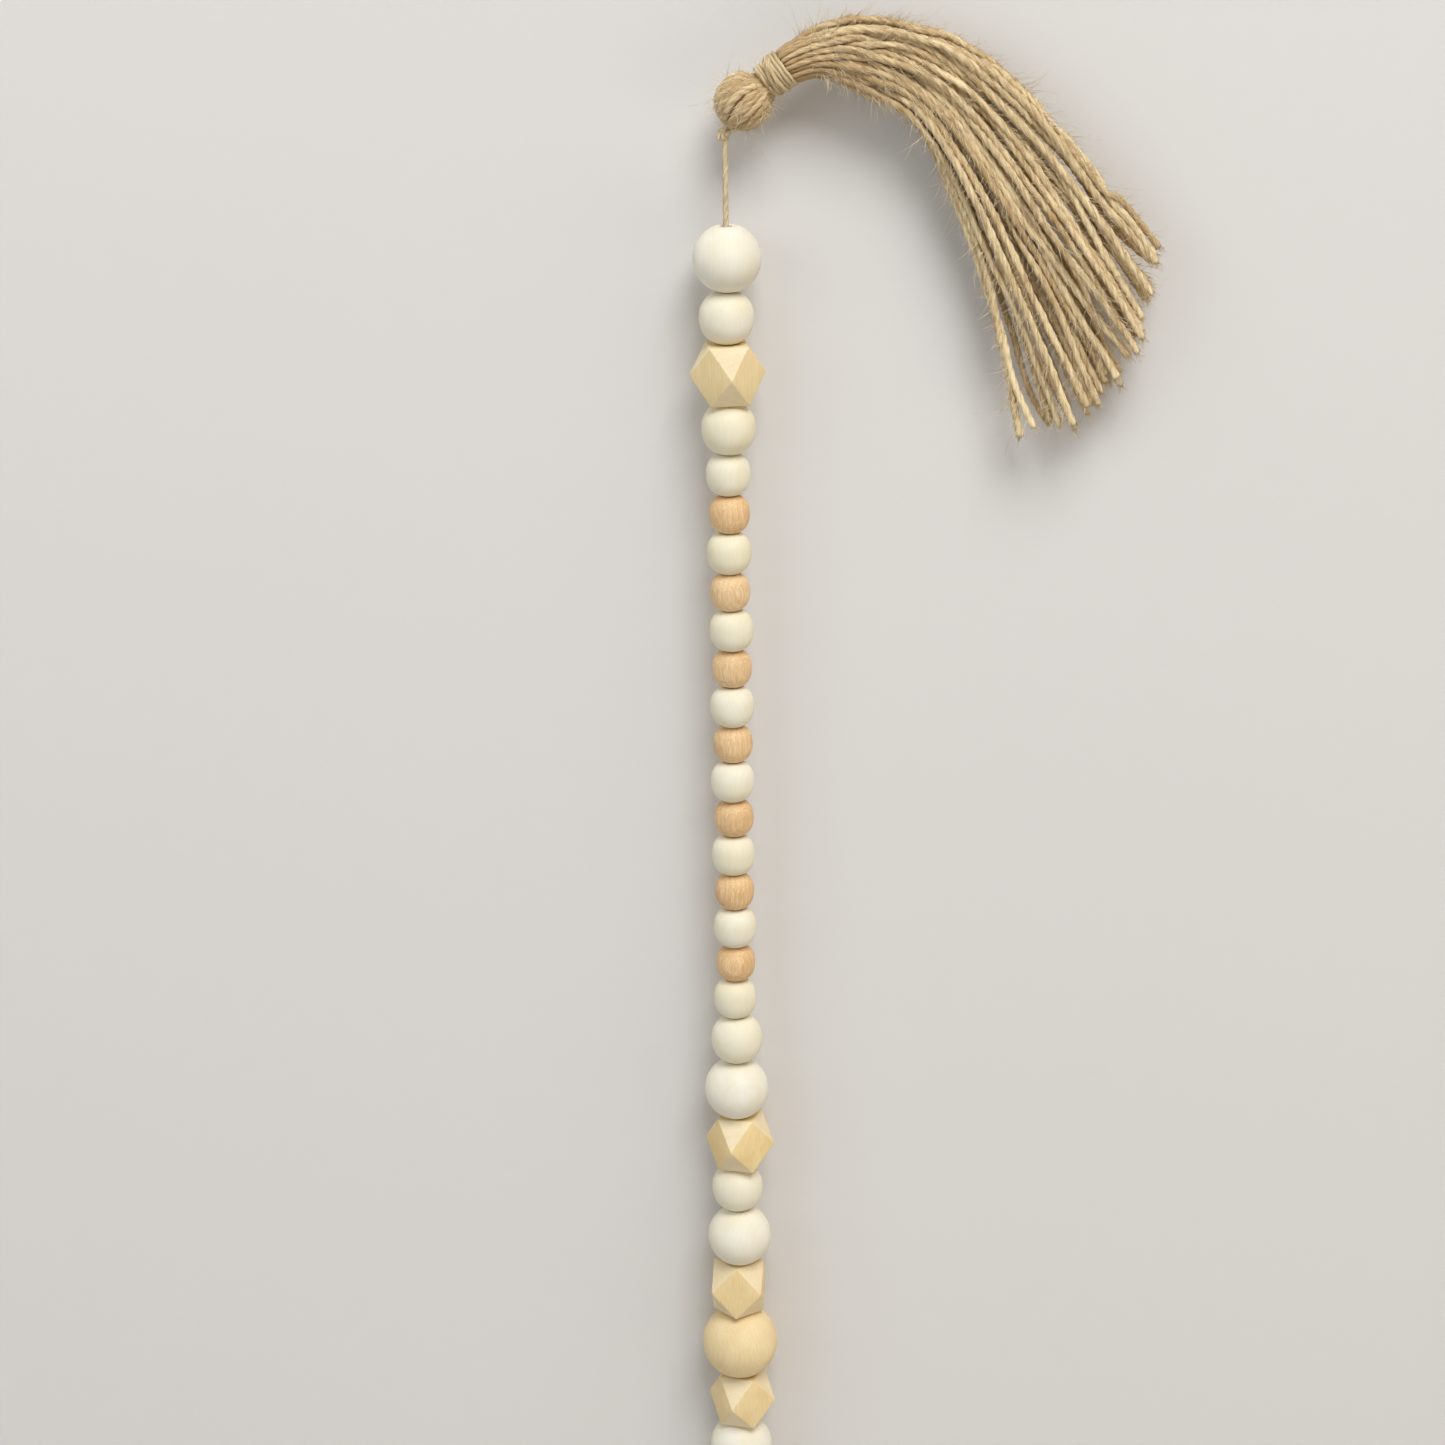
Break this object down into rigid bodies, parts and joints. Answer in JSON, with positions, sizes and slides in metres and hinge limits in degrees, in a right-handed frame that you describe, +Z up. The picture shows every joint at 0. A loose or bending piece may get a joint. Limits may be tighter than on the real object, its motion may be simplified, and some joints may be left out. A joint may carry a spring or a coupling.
{
  "type": "wooden bead garland with tassels",
  "caption": "Hanging garland of round and faceted wooden beads strung on one jute cord, with a knotted jute tassel at each end.",
  "frame": {"origin": "the middle of the upper tassel's binding, which a nail or hook carries", "axes": "+Z up along the hanging string, +X to the side that the upper tassel flops to, +Y towards the wall behind"},
  "size_m": [0.1719, 0.032, 1.1835],
  "materials": {
    "cream_wood": "matt cream stain over close-grained wood",
    "tan_wood": "matt natural beech, flecked",
    "natural_wood": "raw sanded pale wood, straight grain",
    "tassel_jute": "plied natural jute twine, hairy",
    "binding_jute": "thin jute yarn wrapped tight",
    "cord_jute": "twisted jute cord"
  },
  "bodies": {
    "upper_tassel": {"upper_tassel_head": "tassel_jute", "upper_tassel_binding": "binding_jute", "upper_tassel_skirt": "tassel_jute"},
    "upper_knot": {"upper_knot": "cord_jute"},
    "stringing_cord": {"stringing_cord": "cord_jute"},
    "bead_01_large": {"bead_01_large": "cream_wood"},
    "bead_02_medium": {"bead_02_medium": "cream_wood"},
    "bead_03_geometric": {"bead_03_geometric": "natural_wood"},
    "bead_04_medium": {"bead_04_medium": "cream_wood"},
    "bead_05_small": {"bead_05_small": "cream_wood"},
    "bead_06_tan": {"bead_06_tan": "tan_wood"},
    "bead_07_small": {"bead_07_small": "cream_wood"},
    "bead_08_tan": {"bead_08_tan": "tan_wood"},
    "bead_09_small": {"bead_09_small": "cream_wood"},
    "bead_10_tan": {"bead_10_tan": "tan_wood"},
    "bead_11_small": {"bead_11_small": "cream_wood"},
    "bead_12_tan": {"bead_12_tan": "tan_wood"},
    "bead_13_small": {"bead_13_small": "cream_wood"},
    "bead_14_tan": {"bead_14_tan": "tan_wood"},
    "bead_15_small": {"bead_15_small": "cream_wood"},
    "bead_16_tan": {"bead_16_tan": "tan_wood"},
    "bead_17_small": {"bead_17_small": "cream_wood"},
    "bead_18_tan": {"bead_18_tan": "tan_wood"},
    "bead_19_small": {"bead_19_small": "cream_wood"},
    "bead_20_medium": {"bead_20_medium": "cream_wood"},
    "bead_21_large": {"bead_21_large": "cream_wood"},
    "bead_22_geometric": {"bead_22_geometric": "natural_wood"},
    "bead_23_medium": {"bead_23_medium": "cream_wood"},
    "bead_24_large": {"bead_24_large": "cream_wood"},
    "bead_25_geometric": {"bead_25_geometric": "natural_wood"},
    "bead_26_centre": {"bead_26_centre": "natural_wood"},
    "bead_27_geometric": {"bead_27_geometric": "natural_wood"},
    "bead_28_large": {"bead_28_large": "cream_wood"},
    "bead_29_medium": {"bead_29_medium": "cream_wood"},
    "bead_30_geometric": {"bead_30_geometric": "natural_wood"},
    "bead_31_large": {"bead_31_large": "cream_wood"},
    "bead_32_medium": {"bead_32_medium": "cream_wood"},
    "bead_33_small": {"bead_33_small": "cream_wood"},
    "bead_34_tan": {"bead_34_tan": "tan_wood"},
    "bead_35_small": {"bead_35_small": "cream_wood"},
    "bead_36_tan": {"bead_36_tan": "tan_wood"},
    "bead_37_small": {"bead_37_small": "cream_wood"},
    "bead_38_tan": {"bead_38_tan": "tan_wood"},
    "bead_39_small": {"bead_39_small": "cream_wood"},
    "bead_40_tan": {"bead_40_tan": "tan_wood"},
    "bead_41_small": {"bead_41_small": "cream_wood"},
    "bead_42_tan": {"bead_42_tan": "tan_wood"},
    "bead_43_small": {"bead_43_small": "cream_wood"},
    "bead_44_tan": {"bead_44_tan": "tan_wood"},
    "bead_45_small": {"bead_45_small": "cream_wood"},
    "bead_46_tan": {"bead_46_tan": "tan_wood"},
    "bead_47_small": {"bead_47_small": "cream_wood"},
    "bead_48_medium": {"bead_48_medium": "cream_wood"},
    "bead_49_geometric": {"bead_49_geometric": "natural_wood"},
    "bead_50_medium": {"bead_50_medium": "cream_wood"},
    "bead_51_large": {"bead_51_large": "cream_wood"},
    "lower_knot": {"lower_knot": "cord_jute"},
    "lower_tassel": {"lower_tassel_head": "tassel_jute", "lower_tassel_binding": "binding_jute", "lower_tassel_skirt": "tassel_jute"}
  },
  "joints": [
    {"name": "garland_swing_side", "type": "hinge", "parent": "upper_tassel", "child": "upper_knot", "pos_m": [-0.018, 0, -0.0204], "axis": [0, 1, 0], "range_deg": [-30, 75]},
    {"name": "garland_swing_out", "type": "hinge", "parent": "upper_knot", "child": "stringing_cord", "pos_m": [-0.018, 0, -0.0204], "axis": [1, 0, 0], "range_deg": [-60, 0]},
    {"name": "bead_stack_slide", "type": "slide", "parent": "stringing_cord", "child": "bead_51_large", "axis": [0, 0, 1], "range_m": [0, 0.028]},
    {"name": "lower_tassel_swing_side", "type": "hinge", "parent": "stringing_cord", "child": "lower_knot", "pos_m": [-0.018, 0, -0.96567], "axis": [0, 1, 0], "range_deg": [-50, 50]},
    {"name": "lower_tassel_swing_out", "type": "hinge", "parent": "lower_knot", "child": "lower_tassel", "pos_m": [-0.018, 0, -0.96567], "axis": [1, 0, 0], "range_deg": [-50, 0]},
    {"name": "spin_bead_01", "type": "hinge", "parent": "bead_51_large", "child": "bead_01_large", "pos_m": [-0.018, 0, 0], "axis": [0, 0, 1], "continuous": true},
    {"name": "spin_bead_02", "type": "hinge", "parent": "bead_51_large", "child": "bead_02_medium", "pos_m": [-0.018, 0, 0], "axis": [0, 0, 1], "continuous": true},
    {"name": "spin_bead_03", "type": "hinge", "parent": "bead_51_large", "child": "bead_03_geometric", "pos_m": [-0.018, 0, 0], "axis": [0, 0, 1], "continuous": true},
    {"name": "spin_bead_04", "type": "hinge", "parent": "bead_51_large", "child": "bead_04_medium", "pos_m": [-0.018, 0, 0], "axis": [0, 0, 1], "continuous": true},
    {"name": "spin_bead_05", "type": "hinge", "parent": "bead_51_large", "child": "bead_05_small", "pos_m": [-0.018, 0, 0], "axis": [0, 0, 1], "continuous": true},
    {"name": "spin_bead_06", "type": "hinge", "parent": "bead_51_large", "child": "bead_06_tan", "pos_m": [-0.018, 0, 0], "axis": [0, 0, 1], "continuous": true},
    {"name": "spin_bead_07", "type": "hinge", "parent": "bead_51_large", "child": "bead_07_small", "pos_m": [-0.018, 0, 0], "axis": [0, 0, 1], "continuous": true},
    {"name": "spin_bead_08", "type": "hinge", "parent": "bead_51_large", "child": "bead_08_tan", "pos_m": [-0.018, 0, 0], "axis": [0, 0, 1], "continuous": true},
    {"name": "spin_bead_09", "type": "hinge", "parent": "bead_51_large", "child": "bead_09_small", "pos_m": [-0.018, 0, 0], "axis": [0, 0, 1], "continuous": true},
    {"name": "spin_bead_10", "type": "hinge", "parent": "bead_51_large", "child": "bead_10_tan", "pos_m": [-0.018, 0, 0], "axis": [0, 0, 1], "continuous": true},
    {"name": "spin_bead_11", "type": "hinge", "parent": "bead_51_large", "child": "bead_11_small", "pos_m": [-0.018, 0, 0], "axis": [0, 0, 1], "continuous": true},
    {"name": "spin_bead_12", "type": "hinge", "parent": "bead_51_large", "child": "bead_12_tan", "pos_m": [-0.018, 0, 0], "axis": [0, 0, 1], "continuous": true},
    {"name": "spin_bead_13", "type": "hinge", "parent": "bead_51_large", "child": "bead_13_small", "pos_m": [-0.018, 0, 0], "axis": [0, 0, 1], "continuous": true},
    {"name": "spin_bead_14", "type": "hinge", "parent": "bead_51_large", "child": "bead_14_tan", "pos_m": [-0.018, 0, 0], "axis": [0, 0, 1], "continuous": true},
    {"name": "spin_bead_15", "type": "hinge", "parent": "bead_51_large", "child": "bead_15_small", "pos_m": [-0.018, 0, 0], "axis": [0, 0, 1], "continuous": true},
    {"name": "spin_bead_16", "type": "hinge", "parent": "bead_51_large", "child": "bead_16_tan", "pos_m": [-0.018, 0, 0], "axis": [0, 0, 1], "continuous": true},
    {"name": "spin_bead_17", "type": "hinge", "parent": "bead_51_large", "child": "bead_17_small", "pos_m": [-0.018, 0, 0], "axis": [0, 0, 1], "continuous": true},
    {"name": "spin_bead_18", "type": "hinge", "parent": "bead_51_large", "child": "bead_18_tan", "pos_m": [-0.018, 0, 0], "axis": [0, 0, 1], "continuous": true},
    {"name": "spin_bead_19", "type": "hinge", "parent": "bead_51_large", "child": "bead_19_small", "pos_m": [-0.018, 0, 0], "axis": [0, 0, 1], "continuous": true},
    {"name": "spin_bead_20", "type": "hinge", "parent": "bead_51_large", "child": "bead_20_medium", "pos_m": [-0.018, 0, 0], "axis": [0, 0, 1], "continuous": true},
    {"name": "spin_bead_21", "type": "hinge", "parent": "bead_51_large", "child": "bead_21_large", "pos_m": [-0.018, 0, 0], "axis": [0, 0, 1], "continuous": true},
    {"name": "spin_bead_22", "type": "hinge", "parent": "bead_51_large", "child": "bead_22_geometric", "pos_m": [-0.018, 0, 0], "axis": [0, 0, 1], "continuous": true},
    {"name": "spin_bead_23", "type": "hinge", "parent": "bead_51_large", "child": "bead_23_medium", "pos_m": [-0.018, 0, 0], "axis": [0, 0, 1], "continuous": true},
    {"name": "spin_bead_24", "type": "hinge", "parent": "bead_51_large", "child": "bead_24_large", "pos_m": [-0.018, 0, 0], "axis": [0, 0, 1], "continuous": true},
    {"name": "spin_bead_25", "type": "hinge", "parent": "bead_51_large", "child": "bead_25_geometric", "pos_m": [-0.018, 0, 0], "axis": [0, 0, 1], "continuous": true},
    {"name": "spin_bead_26", "type": "hinge", "parent": "bead_51_large", "child": "bead_26_centre", "pos_m": [-0.018, 0, 0], "axis": [0, 0, 1], "continuous": true},
    {"name": "spin_bead_27", "type": "hinge", "parent": "bead_51_large", "child": "bead_27_geometric", "pos_m": [-0.018, 0, 0], "axis": [0, 0, 1], "continuous": true},
    {"name": "spin_bead_28", "type": "hinge", "parent": "bead_51_large", "child": "bead_28_large", "pos_m": [-0.018, 0, 0], "axis": [0, 0, 1], "continuous": true},
    {"name": "spin_bead_29", "type": "hinge", "parent": "bead_51_large", "child": "bead_29_medium", "pos_m": [-0.018, 0, 0], "axis": [0, 0, 1], "continuous": true},
    {"name": "spin_bead_30", "type": "hinge", "parent": "bead_51_large", "child": "bead_30_geometric", "pos_m": [-0.018, 0, 0], "axis": [0, 0, 1], "continuous": true},
    {"name": "spin_bead_31", "type": "hinge", "parent": "bead_51_large", "child": "bead_31_large", "pos_m": [-0.018, 0, 0], "axis": [0, 0, 1], "continuous": true},
    {"name": "spin_bead_32", "type": "hinge", "parent": "bead_51_large", "child": "bead_32_medium", "pos_m": [-0.018, 0, 0], "axis": [0, 0, 1], "continuous": true},
    {"name": "spin_bead_33", "type": "hinge", "parent": "bead_51_large", "child": "bead_33_small", "pos_m": [-0.018, 0, 0], "axis": [0, 0, 1], "continuous": true},
    {"name": "spin_bead_34", "type": "hinge", "parent": "bead_51_large", "child": "bead_34_tan", "pos_m": [-0.018, 0, 0], "axis": [0, 0, 1], "continuous": true},
    {"name": "spin_bead_35", "type": "hinge", "parent": "bead_51_large", "child": "bead_35_small", "pos_m": [-0.018, 0, 0], "axis": [0, 0, 1], "continuous": true},
    {"name": "spin_bead_36", "type": "hinge", "parent": "bead_51_large", "child": "bead_36_tan", "pos_m": [-0.018, 0, 0], "axis": [0, 0, 1], "continuous": true},
    {"name": "spin_bead_37", "type": "hinge", "parent": "bead_51_large", "child": "bead_37_small", "pos_m": [-0.018, 0, 0], "axis": [0, 0, 1], "continuous": true},
    {"name": "spin_bead_38", "type": "hinge", "parent": "bead_51_large", "child": "bead_38_tan", "pos_m": [-0.018, 0, 0], "axis": [0, 0, 1], "continuous": true},
    {"name": "spin_bead_39", "type": "hinge", "parent": "bead_51_large", "child": "bead_39_small", "pos_m": [-0.018, 0, 0], "axis": [0, 0, 1], "continuous": true},
    {"name": "spin_bead_40", "type": "hinge", "parent": "bead_51_large", "child": "bead_40_tan", "pos_m": [-0.018, 0, 0], "axis": [0, 0, 1], "continuous": true},
    {"name": "spin_bead_41", "type": "hinge", "parent": "bead_51_large", "child": "bead_41_small", "pos_m": [-0.018, 0, 0], "axis": [0, 0, 1], "continuous": true},
    {"name": "spin_bead_42", "type": "hinge", "parent": "bead_51_large", "child": "bead_42_tan", "pos_m": [-0.018, 0, 0], "axis": [0, 0, 1], "continuous": true},
    {"name": "spin_bead_43", "type": "hinge", "parent": "bead_51_large", "child": "bead_43_small", "pos_m": [-0.018, 0, 0], "axis": [0, 0, 1], "continuous": true},
    {"name": "spin_bead_44", "type": "hinge", "parent": "bead_51_large", "child": "bead_44_tan", "pos_m": [-0.018, 0, 0], "axis": [0, 0, 1], "continuous": true},
    {"name": "spin_bead_45", "type": "hinge", "parent": "bead_51_large", "child": "bead_45_small", "pos_m": [-0.018, 0, 0], "axis": [0, 0, 1], "continuous": true},
    {"name": "spin_bead_46", "type": "hinge", "parent": "bead_51_large", "child": "bead_46_tan", "pos_m": [-0.018, 0, 0], "axis": [0, 0, 1], "continuous": true},
    {"name": "spin_bead_47", "type": "hinge", "parent": "bead_51_large", "child": "bead_47_small", "pos_m": [-0.018, 0, 0], "axis": [0, 0, 1], "continuous": true},
    {"name": "spin_bead_48", "type": "hinge", "parent": "bead_51_large", "child": "bead_48_medium", "pos_m": [-0.018, 0, 0], "axis": [0, 0, 1], "continuous": true},
    {"name": "spin_bead_49", "type": "hinge", "parent": "bead_51_large", "child": "bead_49_geometric", "pos_m": [-0.018, 0, 0], "axis": [0, 0, 1], "continuous": true},
    {"name": "spin_bead_50", "type": "hinge", "parent": "bead_51_large", "child": "bead_50_medium", "pos_m": [-0.018, 0, 0], "axis": [0, 0, 1], "continuous": true}
  ]
}
